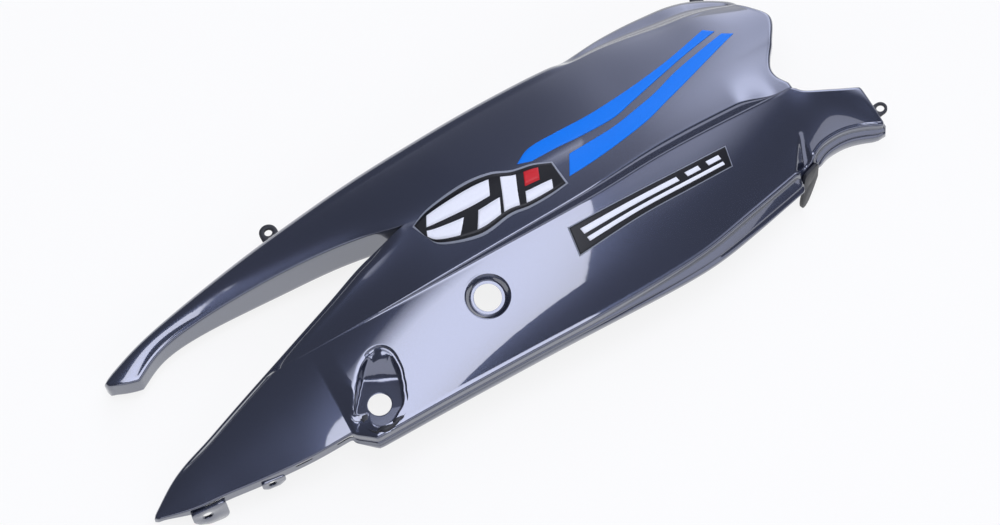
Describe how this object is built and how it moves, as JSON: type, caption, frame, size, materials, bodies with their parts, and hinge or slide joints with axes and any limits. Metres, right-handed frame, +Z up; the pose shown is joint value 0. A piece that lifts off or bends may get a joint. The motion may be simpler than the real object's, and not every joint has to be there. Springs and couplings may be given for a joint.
{
  "type": "scooter side panel",
  "caption": "Left rear side panel of a scooter: a thin painted moulded shell with a lamp notch, stepped flanges, lock recess, screw pocket, fixing tabs, blue stripes and stickers.",
  "frame": {"origin": "centre of the lock hole, halfway through the flat ring at the bottom of its recess", "axes": "+X along the panel to its front end, +Z up through the painted face as the panel lies loose, +Y towards the panel's lower edge"},
  "size_m": [0.7181, 0.2398, 0.09],
  "materials": {
    "paint": "gloss",
    "blue_vinyl": "gloss",
    "white_vinyl": "gloss",
    "black_vinyl": "gloss"
  },
  "bodies": {
    "root": {"side_panel": "paint", "stripe_lower": "blue_vinyl", "stripe_upper": "blue_vinyl", "badge_sticker": "white_vinyl", "plate_sticker": "black_vinyl"}
  },
  "joints": []
}
